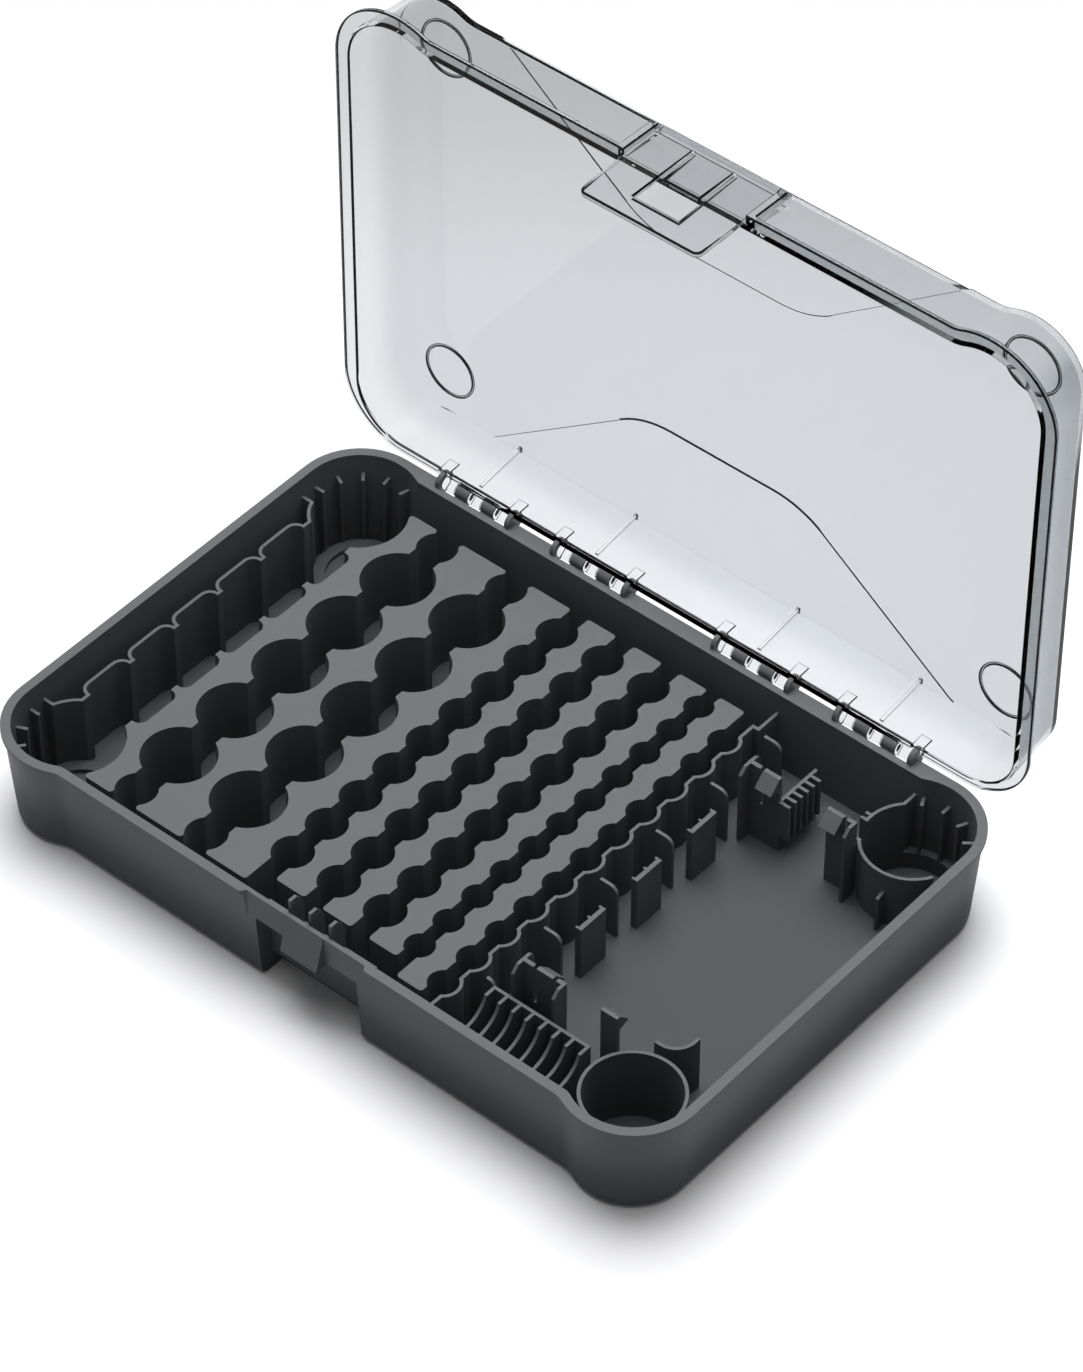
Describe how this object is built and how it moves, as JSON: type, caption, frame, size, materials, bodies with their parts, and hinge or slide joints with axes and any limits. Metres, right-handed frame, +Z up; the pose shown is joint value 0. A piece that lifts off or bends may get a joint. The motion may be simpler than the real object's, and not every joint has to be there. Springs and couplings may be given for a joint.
{
  "type": "battery storage case",
  "caption": "Flat plastic case with shaped wells for standing battery cells, an open bay, and a clear hinged lid with a snap latch.",
  "frame": {"origin": "middle of the tray's underside", "axes": "+X along the case to the open bay, +Y from the latch to the hinges, +Z up; the lid stands open at a right angle"},
  "size_m": [0.326, 0.2386, 0.2592],
  "materials": {
    "tray": "dark grey moulded plastic with a fine satin grain",
    "lid": "clear, very slightly smoky moulded plastic, polished",
    "latch": "clear moulded plastic, polished"
  },
  "bodies": {
    "tray": {"tray": "tray"},
    "lid": {"lid": "lid"},
    "latch": {"latch": "latch"}
  },
  "joints": [
    {"name": "lid_hinge", "type": "hinge", "parent": "tray", "child": "lid", "pos_m": [0, 0.1055, 0.0449], "axis": [1, 0, 0], "range_deg": [0, 90]},
    {"name": "latch_pivot", "type": "hinge", "parent": "lid", "child": "latch", "pos_m": [0, 0.1244, 0.2526], "axis": [-1, 0, 0], "range_deg": [0, 90]}
  ]
}
